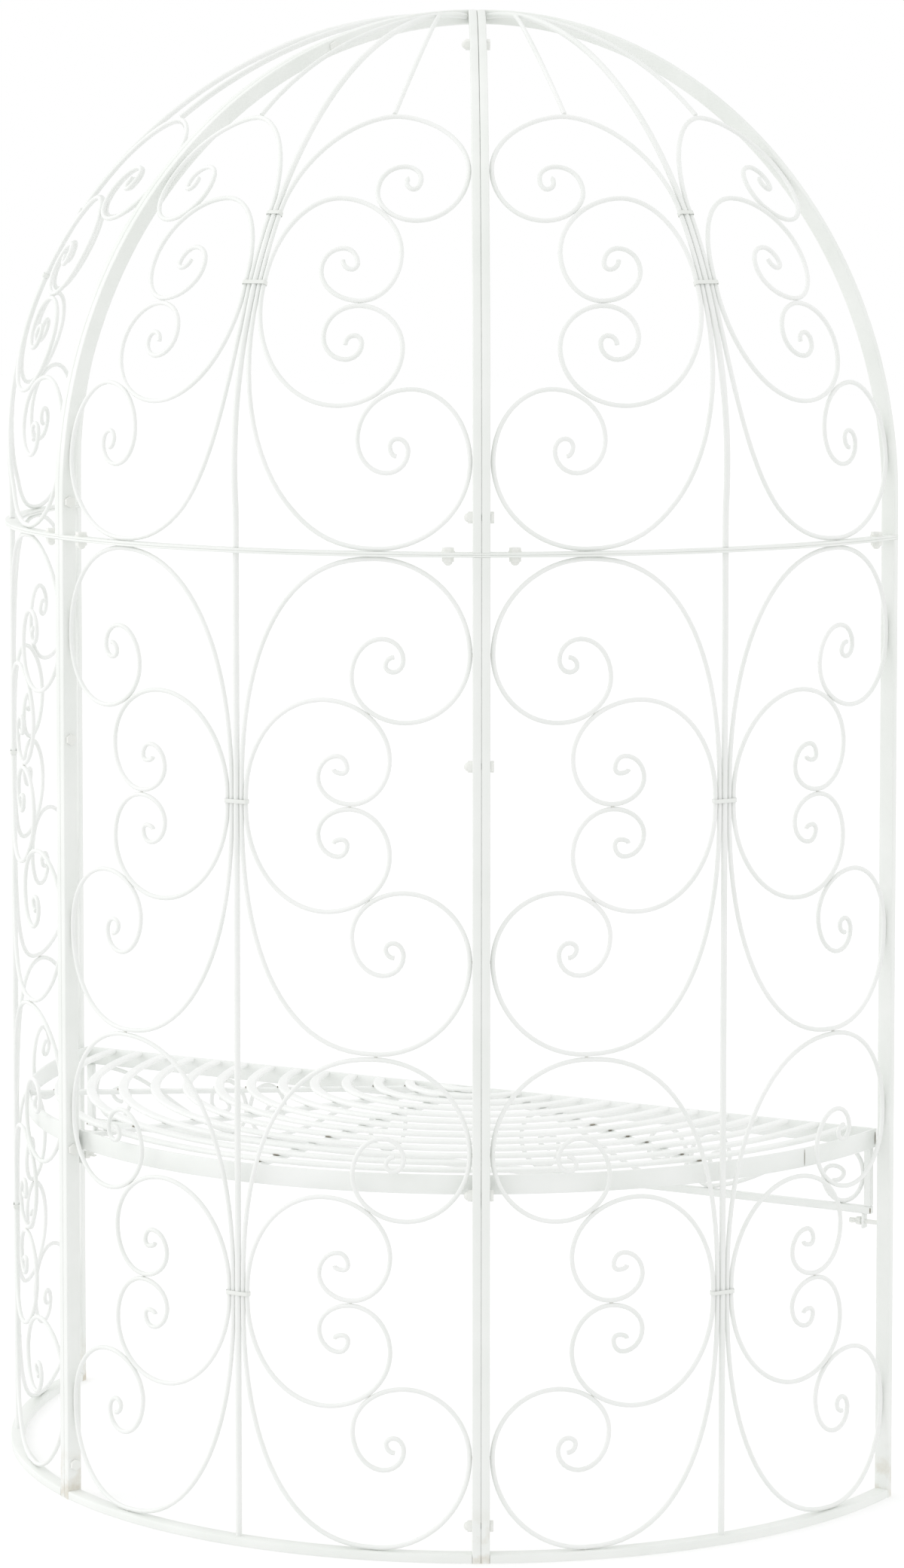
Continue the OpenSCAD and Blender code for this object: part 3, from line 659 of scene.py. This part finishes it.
def placed_shapes(name, shapes, paint, stands_for=()):
    """One piece of several small shapes, each given with its place."""
    whole = bmesh.new()
    for place, shape in shapes:
        move(shape, place)
        merge_into(whole, shape)
    piece_from(name, whole, paint, stands_for)


# The walls and the dome.
PANEL_POSTS = {"left": ("left_post_front", "left_post_rear"),
               "rear": ("rear_post_left", "rear_post_right"),
               "right": ("right_post_rear", "right_post_front")}
RAIL_CORNER, BAR_CORNER = 1.4, 0.8
TIER_MIDDLES = [TUBE[0] + TIER * (k + 0.5) for k in (0, 1)]


def painted_rods(name, thickness, runs):
    """A piece of painted rods that stands for the solid of the same name."""
    bent_rods(name, runs, thickness, rod_paint, [name])


for panel, side in PANELS.items():
    for name, end in zip(PANEL_POSTS[panel], (1, -1)):
        post_piece(name, side, end)
        rib_piece(name.replace("post", "rib"), side, end)
    rail_piece(panel + "_base_rail", side, 0, TUBE[0], RAIL_CORNER, True)
    rail_piece(panel + "_top_rail", side, POST, BAR, BAR_CORNER, False)
    rail_piece(panel + "_ring_bar", side, RAIL_TOP, BAR, BAR_CORNER, False)
    stand = at_panel(side)
    for kind, flat in (("outer", wall_outer_rod), ("inner", wall_inner_rod)):
        painted_rods(f"{panel}_{kind}_scrolls", ROD, [
            [stand @ on_wall(x, y, level, hand) for x, y in flat]
            for level in TIER_MIDDLES for hand in (-1, 1)])
    for kind, flat in (("outer", gore_outer_rod), ("inner", gore_inner_rod)):
        painted_rods(f"{panel}_gore_{kind}_scrolls", ROD, [
            [stand @ on_gore(a, s, hand) for a, s in flat] for hand in (-1, 1)])
    painted_rods(panel + "_mid_rod", MID_ROD, [
        [stand @ Vector((0, WALL, TUBE[0])), stand @ Vector((0, WALL, POST))]])
    painted_rods(panel + "_crown_rod", MID_ROD, [
        [stand @ on_gore(a, s, 1) for a, s in crown_run]])
    painted_rods(panel + "_crown_braces", ROD, [
        [stand @ on_gore(a, s, hand) for a, s in brace_run] for hand in (-1, 1)])

FIVE_RODS, THREE_RODS = INNER_AT + ROD / 2, OUTER_AT + ROD / 2
collar_piece("wall_collars", [
    (at_panel(side) @ shift(0, WALL, level), FIVE_RODS) for side in (-1, 0, 1) for level in TIER_MIDDLES])
for name, level, bundle in (("gore_lower_ties", TIE_LOW, FIVE_RODS),
                            ("gore_upper_ties", TIE_HIGH, THREE_RODS)):
    slope = Matrix.Translation(on_gore(0, level, 1)) @ Matrix.Rotation(latitude(level), 4, "X")
    collar_piece(name, [(at_panel(side) @ slope, bundle) for side in (-1, 0, 1)])


# The bench.
BAND_IN = RIM - BAND[1]
BAND_Z = SEAT - BAND[0]
BACK = FRONT + BAND[1]
PITCH = BAND_IN / (SLATS + 1)
SLAT_UNDER = SEAT - SLAT[1]
SLAT_CORNER = 2.95
BAND_EDGE, THIN_EDGE, SPOKE_EDGE, APRON_EDGE = 0.8, 0.7, 0.8, 1.2
SPOKE = 6
APRON_BAR = 10.0
APRON_Z = BAND_Z - APRON - APRON_BAR
APRON_END = math.sqrt(BAND_IN ** 2 - (FRONT + APRON_BAR) ** 2)
APRON_X = APRON_END - APRON_BAR
TO_AXIS = at_panel(0)


def bench_piece(name, work, paint=bench_paint):
    """A piece of the bench, made about the arbour's axis."""
    move(work, TO_AXIS)
    piece_from(name, work, paint, [name])


def hoop(work, radius, width, level, thickness, corner, steps, segments=2):
    """A bar bent in a half circle about the axis and cut off at the front band."""
    start = turned(math.radians(-92)) @ shift(0, radius, level) @ STANDING
    face = rounded(work, width, thickness, start, corner, segments)
    bend(work, face, math.radians(184), steps, (0, 0, 0), (0, 0, 1))
    trim(work, (0, BACK, 0), (0, -1, 0))


def box_bar(low, high, corner):
    """A straight bar with softened edges between two corners."""
    work = bmesh.new()
    size = [b - a for a, b in zip(low, high)]
    middle = [(a + b) / 2 for a, b in zip(low, high)]
    bmesh.ops.create_cube(work, size=1.0, matrix=shift(*middle) @ Matrix.Diagonal((*size, 1)))
    soften(work, work.edges[:], corner)
    return work


work = bmesh.new()
hoop(work, BAND_IN, BAND[1], BAND_Z, BAND[0], BAND_EDGE, 96)
bench_piece("bench_rim", work)

whole = bmesh.new()
for i in range(1, SLATS + 1):
    work = bmesh.new()
    hoop(work, PITCH * i - SLAT[0] / 4, SLAT[0], SLAT_UNDER, SLAT[1], SLAT_CORNER, 24 + 5 * i, 5)
    merge_into(whole, work)
bench_piece("bench_slats", whole, slat_paint_with_painted_top_light)

half_band = math.sqrt(RIM ** 2 - FRONT ** 2) - FIT
work = box_bar((-half_band, FRONT, BAND_Z), (half_band, BACK, SEAT), THIN_EDGE)
bench_piece("bench_front_band", work)

whole = bmesh.new()
for k in range(-2, 3):
    work = box_bar((-SPOKE, 0, SLAT_UNDER - SPOKE), (SPOKE, BAND_IN - 0.1, SLAT_UNDER), SPOKE_EDGE)
    move(work, turned(k * HALF))
    trim(work, (0, BACK, 0), (0, -1, 0))
    merge_into(whole, work)
bench_piece("bench_spokes", whole)

apron_back, apron_top = FRONT + APRON_BAR, APRON_Z + APRON_BAR
work = box_bar((-APRON_END, FRONT, APRON_Z), (APRON_END, apron_back, apron_top), APRON_EDGE)
bench_piece("apron_rail", work)
whole = bmesh.new()
for x in (-APRON_END, APRON_X):
    merge_into(whole, box_bar((x, FRONT, apron_top), (x + APRON_BAR, apron_back, BAND_Z), APRON_EDGE))
bench_piece("apron_uprights", whole)

# The apron's S scrolls, measured on one whose half is 36.7 mm high and 127 mm wide.
APRON_TURNS = [(26, 34), (31, 39.4), (27, 31), (15, 15), (15, 8), (16, 12)]
MEASURED_APRON_HALF, MEASURED_APRON_REACH = 36.7, 127
APRON_BULGE = 1.6
apron_half = (APRON - 2 * SEATED) / 2
apron_k = apron_half / MEASURED_APRON_HALF
apron_turns = grown(APRON_TURNS, apron_k)
apron_reach = MEASURED_APRON_REACH * apron_k
apron_top_x = apron_reach - apron_turns[0][0]
s_half = [
    (apron_top_x * t, apron_half * (1 - (1 - t) ** APRON_BULGE)) for t in [i / 24 for i in range(24)]]
s_half += [(apron_top_x - x, y) for x, y in scroll((0, apron_half), apron_turns)]
s_whole = [(-x, -y) for x, y in reversed(s_half[1:])] + s_half
apron_runs = []
for hand in (-1, 1):
    for k, way in ((0, 1), (1, -1)):
        middle = APRON_X - SEATED - apron_reach - k * (2 * apron_reach + ROD + FIT)
        apron_runs.append([
            TO_AXIS @ Vector((hand * (middle + way * x), BACK, BAND_Z - APRON / 2 + y)) for x, y in s_whole])
bent_rods("apron_scrolls", apron_runs, ROD, rod_paint, ["apron_scrolls"])

# The tabs that hang the bench, and their studs: beside the front posts below the
# apron, and at the rear seams below the rim.
TAB, TAB_TALL = 3, 20
FRONT_TAB, FRONT_TAB_IN, FRONT_STUD, FRONT_STUD_DOWN = 6, 22, 41.5, 11
REAR_TAB, REAR_TAB_GAP, REAR_STUD, REAR_STUD_DOWN = 8, 0.5, 26, 10
OUTWARDS = Matrix.Rotation(-math.pi / 2, 4, "X")
tabs, studs = [], []
for hand in (-1, 1):
    x, y = hand * (EDGE - TUBE[0] / 2), INSIDE - FRONT_TAB_IN
    place = TO_AXIS @ turned(hand * 3 * HALF)
    tabs.append((place, box_bar(
        (x - FRONT_TAB, y, APRON_Z - TAB_TALL), (x + FRONT_TAB, y + TAB, APRON_Z), THIN_EDGE)))
    hole = shift(x, INSIDE - FRONT_STUD, APRON_Z - FRONT_STUD_DOWN)
    studs.append((place @ hole @ OUTWARDS, wing_shape(FRONT_STUD)))
    place = TO_AXIS @ turned(hand * HALF)
    y = BAND_IN + REAR_TAB_GAP
    tabs.append((place, box_bar((-REAR_TAB, y, BAND_Z - TAB_TALL), (REAR_TAB, y + TAB, BAND_Z), THIN_EDGE)))
    hole = shift(0, INSIDE - REAR_STUD, BAND_Z - REAR_STUD_DOWN)
    studs.append((place @ hole @ OUTWARDS, wing_shape(REAR_STUD)))
placed_shapes("bench_tabs", tabs, bench_paint, ["bench_tabs"])
placed_shapes("bench_bolts", studs, bolt_paint, ["bench_bolts"])


# Weld beads, dark marks of painted shade, and bolts.
def bead(long, wide, high):
    """One small bead, long along its own X, for welds and for dark marks of painted shade."""
    work = bmesh.new()
    bmesh.ops.create_icosphere(work, subdivisions=2, radius=1.0)
    move(work, Matrix.Diagonal((long / 2, wide / 2, high / 2, 1)))
    return work


SCATTER = (12.9898, 4.1, 43758.5453)


def wobble(n):
    """A fixed scatter from 0 to 1, so that no two welds are alike."""
    return math.sin(SCATTER[0] * n + SCATTER[1]) * SCATTER[2] % 1.0


def nearest(first, second):
    """The middle of the closest pair of points of two runs."""
    best = min(((a[0] - b[0]) ** 2 + (a[1] - b[1]) ** 2, a, b) for a in first for b in second)
    return (best[1][0] + best[2][0]) / 2, (best[1][1] + best[2][1]) / 2


# Grey weld beads where the wall scrolls meet posts, rails and each other; their grey is partly weld and
# partly painted shade of the gaps.
outer_half_rod = wall_outer_rod[len(wall_outer_rod) // 2:]
inner_half_rod = wall_inner_rod[len(wall_inner_rod) // 2:]
wall_welds = [(0.4, wall_top - WALL_OUTER[0][1]), (SEATED + WALL_OUTER[0][0], TIER / 2 - 0.5),
              nearest(outer_half_rod[60:], inner_half_rod[24:60])]
wall_kiss_x = wall_inner_x - WALL_INNER[0][0] + WALL_INNER[1][0]
WELD_WIDE = 3.6
weld_spots = []
count = 0
for side in (-1, 0, 1):
    stand = at_panel(side)
    for level in TIER_MIDDLES:
        for hand in (-1, 1):
            spots = [(x, s * y) for x, y in wall_welds for s in (-1, 1)] + [(wall_kiss_x, 0.0)]
            for x, y in spots:
                count += 1
                size = WELD_WIDE + 1.6 * wobble(count)
                place = stand @ Matrix.Translation(on_wall(x, y, level, hand))
                weld_spots.append((place, bead(size, WELD_WIDE, size * 0.9)))
placed_shapes("scroll_welds", weld_spots, weld_paint_with_painted_shade)

# Dark dashes on some crossings of slats and spokes, partly bare welds and partly painted shade in the gap
# under a slat's edge; painted shade in the gaps at the rim's ends and the apron rail's ends; and a dark
# joint line in the rim.
DARK_DASH_SHARE = 0.26
crossings = []
for k in range(-2, 3):
    for i in range(1, SLATS + 1):
        r = PITCH * i + SLAT[0] * 0.75 + 0.3
        crowded = i < 3 and abs(k) == 1 or i < 2 and abs(k) == 2
        if crowded or r * math.cos(k * HALF) < BACK + 12:
            continue
        count += 1
        if wobble(count + 200) < 1 - DARK_DASH_SHARE:
            continue
        size = 5.5 + 6 * wobble(count)
        beside = shift(3 - 6 * wobble(count + 50), r, SLAT_UNDER + 1.1)
        crossings.append((TO_AXIS @ turned(k * HALF) @ beside, bead(size, 1.7, 1.6)))
# Painted shade: a dark bead in the gap at each end of the rim, beside the post; and a dark joint line
# partway round the rim.
rim_end = math.acos(BACK / RIM) - 0.003
rim_joint = math.radians(71.6)
for angle, wide, tall in ((rim_end, 2.6, 18), (rim_joint, 1.2, 23)):
    for hand in (1, -1):
        place = TO_AXIS @ turned(hand * angle) @ shift(0, RIM, SEAT - BAND[0] / 2)
        crossings.append((place, bead(wide, 1.0, tall)))
# Painted shade: a dark bead in the corner at each end of the apron rail.
for hand in (-1, 1):
    place = TO_AXIS @ shift(hand * (APRON_END - 0.4), apron_back, APRON_Z + APRON_BAR / 2)
    crossings.append((place, bead(2.0, 0.8, 8)))
placed_shapes("slat_welds_and_painted_gap_shade", crossings, dark_dash_paint_with_painted_shade)

SEAM_WASHER, RING_WASHER = 0.2, 1.6
ALONG_SEAM = Matrix.Rotation(math.pi / 2, 4, "Y")
HEAD_UP = Matrix.Rotation(math.pi, 4, "X")
seams = []
for hand in (-1, 1):
    spots = [(WALL, level) for level in BOLT_HEIGHTS] + [(WALL, DOME + RIB_BOLTS[0])]
    slope = math.radians(RIB_BOLTS[1])
    spots.append((WALL * math.cos(slope), DOME + WALL * math.sin(slope)))
    for y, z in spots:
        place = TO_AXIS @ turned(hand * HALF) @ shift(-EDGE, y, z) @ ALONG_SEAM
        seams.append((place, bolt_shape(2 * EDGE, SEAM_WASHER)))
placed_shapes("seam_bolts", seams, bolt_paint, ["seam_bolts"])
rings = []
for side in (-1, 0, 1):
    for end in (-1, 1):
        place = at_panel(side) @ turned(end * (HALF - RING_BOLT / WALL)) @ shift(0, WALL, RING_TOP)
        rings.append((place @ HEAD_UP, bolt_shape(2 * BAR, RING_WASHER)))
placed_shapes("ring_bolts", rings, bolt_paint, ["ring_bolts"])


# The stage: floor, light and camera.

# Strength of the white room's light: all round, more from the left of the
# photograph than from its right, more from both sides, and more from above.
ROOM_LIGHT = 0.80
LEFT_LIGHT = 0.15
SIDE_LIGHT = 0.50
TOP_LIGHT = 0.22
FLOOR_LIGHT = 0.97
HORIZON = 0.02
LAMP_AT, LAMP_AIM = Vector((3.9, 2.2, 2.4)), Vector((0, 0, 1.0))
LAMP_SIZE = 2.4
LAMP_POWER = 16.0

FLOOR_SIZE, FLOOR_WHITE, FLOOR_GLOW = 30.0, (0.9, 0.9, 0.9, 1), 0.11

# The photograph's frame and the camera that was fitted to it: focal length and
# lens centre in its pixels, distances in metres, angles in radians.
FRAME_SIZE = (1200, 2082)
SENSOR = 36.0
FOCAL = 6233.8
LENS_CENTRE = (632.0, 708.0)
BEARING = math.radians(28.39)
CAMERA_AWAY, CAMERA_HIGH = 6.4905, 1.7455
CAMERA_DOWN, CAMERA_ROLL = 0.0743, 0.00054


def stage_floor():
    """A white floor that shows the arbour's shadow to the camera."""
    work = bmesh.new()
    bmesh.ops.create_grid(work, x_segments=2, y_segments=2, size=FLOOR_SIZE)
    data = bpy.data.meshes.new("studio_floor")
    work.to_mesh(data)
    work.free()
    floor = bpy.data.objects.new("studio_floor", data)
    bpy.context.scene.collection.objects.link(floor)
    made = bpy.data.materials.new("studio_floor_white")
    made.use_nodes = True
    tree = made.node_tree
    shader = tree.nodes["Principled BSDF"]
    shader.inputs["Base Color"].default_value = FLOOR_WHITE
    shader.inputs["Roughness"].default_value = 0.9
    shader.inputs["Specular IOR Level"].default_value = 0.1
    shader.inputs["Emission Color"].default_value = (1, 1, 1, 1)
    shader.inputs["Emission Strength"].default_value = FLOOR_GLOW
    made.cycles.emission_sampling = "NONE"
    data.materials.append(made)
    # Only the camera sees the floor: the room's light from below stands in
    # for what it throws back, which leaves the pieces free of grain.
    floor.visible_diffuse = False
    floor.visible_glossy = False
    floor.visible_shadow = False


def times(tree, value, factor):
    """A value multiplied by a number or by another value, without clamping."""
    node = tree.nodes.new("ShaderNodeMath")
    node.operation = "MULTIPLY"
    tree.links.new(value, node.inputs[0])
    if isinstance(factor, float):
        node.inputs[1].default_value = factor
    else:
        tree.links.new(factor, node.inputs[1])
    return node.outputs["Value"]


def along(tree, ways, direction):
    """How far each light ray points along a direction, from -1 to 1."""
    node = tree.nodes.new("ShaderNodeVectorMath")
    node.operation = "DOT_PRODUCT"
    tree.links.new(ways, node.inputs[0])
    node.inputs[1].default_value = direction
    return node.outputs["Value"]


def studio_light():
    """A plain white room, brighter above and to the sides, and one soft box on the left."""
    world = bpy.data.worlds.new("studio")
    bpy.context.scene.world = world
    world.use_nodes = True
    tree = world.node_tree
    back = tree.nodes["Background"]
    ways = tree.nodes.new("ShaderNodeTexCoord").outputs["Generated"]
    left = along(tree, ways, (math.cos(BEARING), math.sin(BEARING), 0.0))
    above = along(tree, ways, (0.0, 0.0, 1.0))
    parts = [times(tree, left, LEFT_LIGHT), times(tree, times(tree, left, left), SIDE_LIGHT),
             times(tree, above, TOP_LIGHT)]
    light = None
    for part in parts:
        total = tree.nodes.new("ShaderNodeMath")
        total.operation = "ADD"
        tree.links.new(part, total.inputs[0])
        if light is None:
            total.inputs[1].default_value = ROOM_LIGHT
        else:
            tree.links.new(light, total.inputs[1])
        light = total.outputs["Value"]
    room = tree.nodes.new("ShaderNodeMapRange")
    room.inputs["From Min"].default_value = -HORIZON
    room.inputs["From Max"].default_value = HORIZON
    room.inputs["To Min"].default_value = FLOOR_LIGHT
    tree.links.new(light, room.inputs["To Max"])
    tree.links.new(above, room.inputs["Value"])
    path = tree.nodes.new("ShaderNodeLightPath")
    seen = tree.nodes.new("ShaderNodeMapRange")
    tree.links.new(room.outputs["Result"], seen.inputs["To Min"])
    seen.inputs["To Max"].default_value = 1.0
    tree.links.new(path.outputs["Is Camera Ray"], seen.inputs["Value"])
    tree.links.new(seen.outputs["Result"], back.inputs["Strength"])
    back.inputs["Color"].default_value = (1, 1, 1, 1)
    lamp = bpy.data.lights.new("left_soft_box", "AREA")
    lamp.size = LAMP_SIZE
    lamp.energy = LAMP_POWER
    holder = bpy.data.objects.new("left_soft_box", lamp)
    holder.location = LAMP_AT
    holder.rotation_euler = (LAMP_AIM - LAMP_AT).to_track_quat("-Z", "Y").to_euler()
    bpy.context.scene.collection.objects.link(holder)


def photo_camera():
    """Camera where the photograph was taken from, fitted to the arbour's own points."""
    width, height = FRAME_SIZE
    lens = bpy.data.cameras.new("photo_camera")
    lens.sensor_fit = "VERTICAL"
    lens.sensor_height = SENSOR
    lens.lens = FOCAL * SENSOR / height
    lens.shift_x = (width / 2 - LENS_CENTRE[0]) / height
    lens.shift_y = (LENS_CENTRE[1] - height / 2) / height
    lens.clip_end = 100
    camera = bpy.data.objects.new("photo_camera", lens)
    across, back = math.sin(BEARING), math.cos(BEARING)
    camera.location = (-CAMERA_AWAY * across, CAMERA_AWAY * back - MIDDLE * MM, CAMERA_HIGH)
    facing = Vector((across, -back, -math.tan(CAMERA_DOWN)))
    look = facing.to_track_quat("-Z", "Y").to_matrix().to_4x4()
    camera.rotation_euler = (look @ Matrix.Rotation(CAMERA_ROLL, 4, "Z")).to_euler()
    bpy.context.scene.collection.objects.link(camera)
    bpy.context.scene.camera = camera


stage_floor()
studio_light()
photo_camera()
bpy.context.scene.view_settings.view_transform = "Standard"
